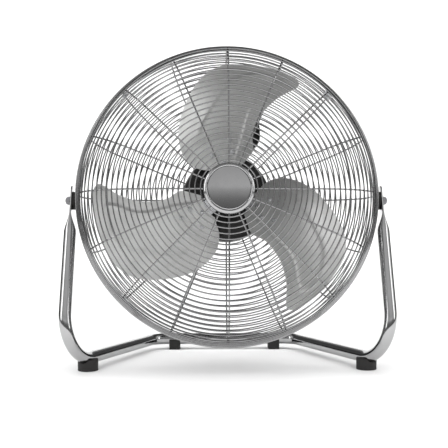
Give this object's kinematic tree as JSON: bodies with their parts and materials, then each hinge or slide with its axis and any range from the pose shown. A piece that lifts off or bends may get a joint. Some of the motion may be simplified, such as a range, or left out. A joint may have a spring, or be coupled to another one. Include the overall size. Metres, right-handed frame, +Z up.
{
  "type": "floor fan",
  "caption": "Tilting floor fan: round chrome wire cage, wide aluminium blades and a black motor, hung between the arms of a bent chrome tube stand on rubber feet.",
  "frame": {"origin": "middle of the bounding box in X and Y, on the floor", "axes": "+Z up, the fan blows towards -Y, +X to the right as seen from the front"},
  "size_m": [0.5716, 0.339, 0.5641],
  "materials": {
    "chrome": "polished plated wire and tube",
    "plated_hoop": "soft plated strip",
    "satin_aluminium": "satin rolled sheet",
    "bright_steel": "zinc plated",
    "core_laminations": "dark laminations",
    "black_paint": "semi gloss black",
    "black_rubber": "matt",
    "black_plastic": "fine texture",
    "grey_knob": "smooth grey",
    "capacitor_case": "moulded"
  },
  "bodies": {
    "stand": {"stand_tube": "chrome", "front_foot_left": "black_rubber", "front_foot_right": "black_rubber", "rear_foot_left": "black_rubber", "rear_foot_right": "black_rubber"},
    "head": {"pivot_bracket_left": "bright_steel", "pivot_stud_left": "bright_steel", "pivot_spacer_left": "black_rubber", "pivot_bracket_right": "bright_steel", "pivot_stud_right": "bright_steel", "pivot_spacer_right": "black_rubber", "front_guard": "chrome", "rear_guard": "chrome", "rim_hoop": "plated_hoop", "guard_clip_1": "bright_steel", "guard_clip_screw_1": "bright_steel", "guard_clip_2": "bright_steel", "guard_clip_screw_2": "bright_steel", "guard_clip_3": "bright_steel", "guard_clip_screw_3": "bright_steel", "guard_clip_4": "bright_steel", "guard_clip_screw_4": "bright_steel", "centre_cap": "chrome", "cap_back_plate": "bright_steel", "cap_screw": "bright_steel", "motor_front_bell": "black_paint", "motor_rear_bell": "black_paint", "motor_stator": "core_laminations", "bearing_front": "bright_steel", "bearing_rear": "bright_steel", "motor_mount_plate": "black_paint", "motor_screw_1": "bright_steel", "motor_screw_2": "bright_steel", "motor_screw_3": "bright_steel", "motor_screw_4": "bright_steel", "control_box": "black_paint", "control_box_cover": "black_paint", "rotary_switch": "black_plastic", "run_capacitor": "capacitor_case", "box_clamp_plate": "bright_steel", "box_screw_left": "bright_steel", "box_screw_right": "bright_steel", "cord_gland": "black_rubber"},
    "rotor": {"blade_1": "satin_aluminium", "blade_2": "satin_aluminium", "blade_3": "satin_aluminium", "blade_hub": "bright_steel", "blade_rivet_1_1": "bright_steel", "blade_rivet_1_2": "bright_steel", "blade_rivet_2_1": "bright_steel", "blade_rivet_2_2": "bright_steel", "blade_rivet_3_1": "bright_steel", "blade_rivet_3_2": "bright_steel", "fan_shaft": "bright_steel", "motor_rotor": "core_laminations"},
    "speed_dial": {"speed_knob": "black_plastic", "switch_spindle": "bright_steel"},
    "knob_left": {"pivot_knob_left": "grey_knob"},
    "knob_right": {"pivot_knob_right": "grey_knob"}
  },
  "joints": [
    {"name": "head_tilt", "type": "hinge", "parent": "stand", "child": "head", "pos_m": [0, -0.02952, 0.292], "axis": [-1, 0, 0], "range_deg": [-17, 75]},
    {"name": "fan_spin", "type": "hinge", "parent": "head", "child": "rotor", "pos_m": [0, -0.02879, 0.29796], "axis": [0, -0.9925, 0.1219], "continuous": true},
    {"name": "speed_dial_turn", "type": "hinge", "parent": "head", "child": "speed_dial", "pos_m": [0, 0.08582, 0.41083], "axis": [0, -0.9925, 0.1219], "range_deg": [0, 90]},
    {"name": "clamp_knob_left_turn", "type": "hinge", "parent": "head", "child": "knob_left", "pos_m": [-0.28, -0.02952, 0.292], "axis": [-1, 0, 0], "range_deg": [0, 180]},
    {"name": "clamp_knob_right_turn", "type": "hinge", "parent": "head", "child": "knob_right", "pos_m": [0.28, -0.02952, 0.292], "axis": [1, 0, 0], "range_deg": [0, 180]}
  ]
}
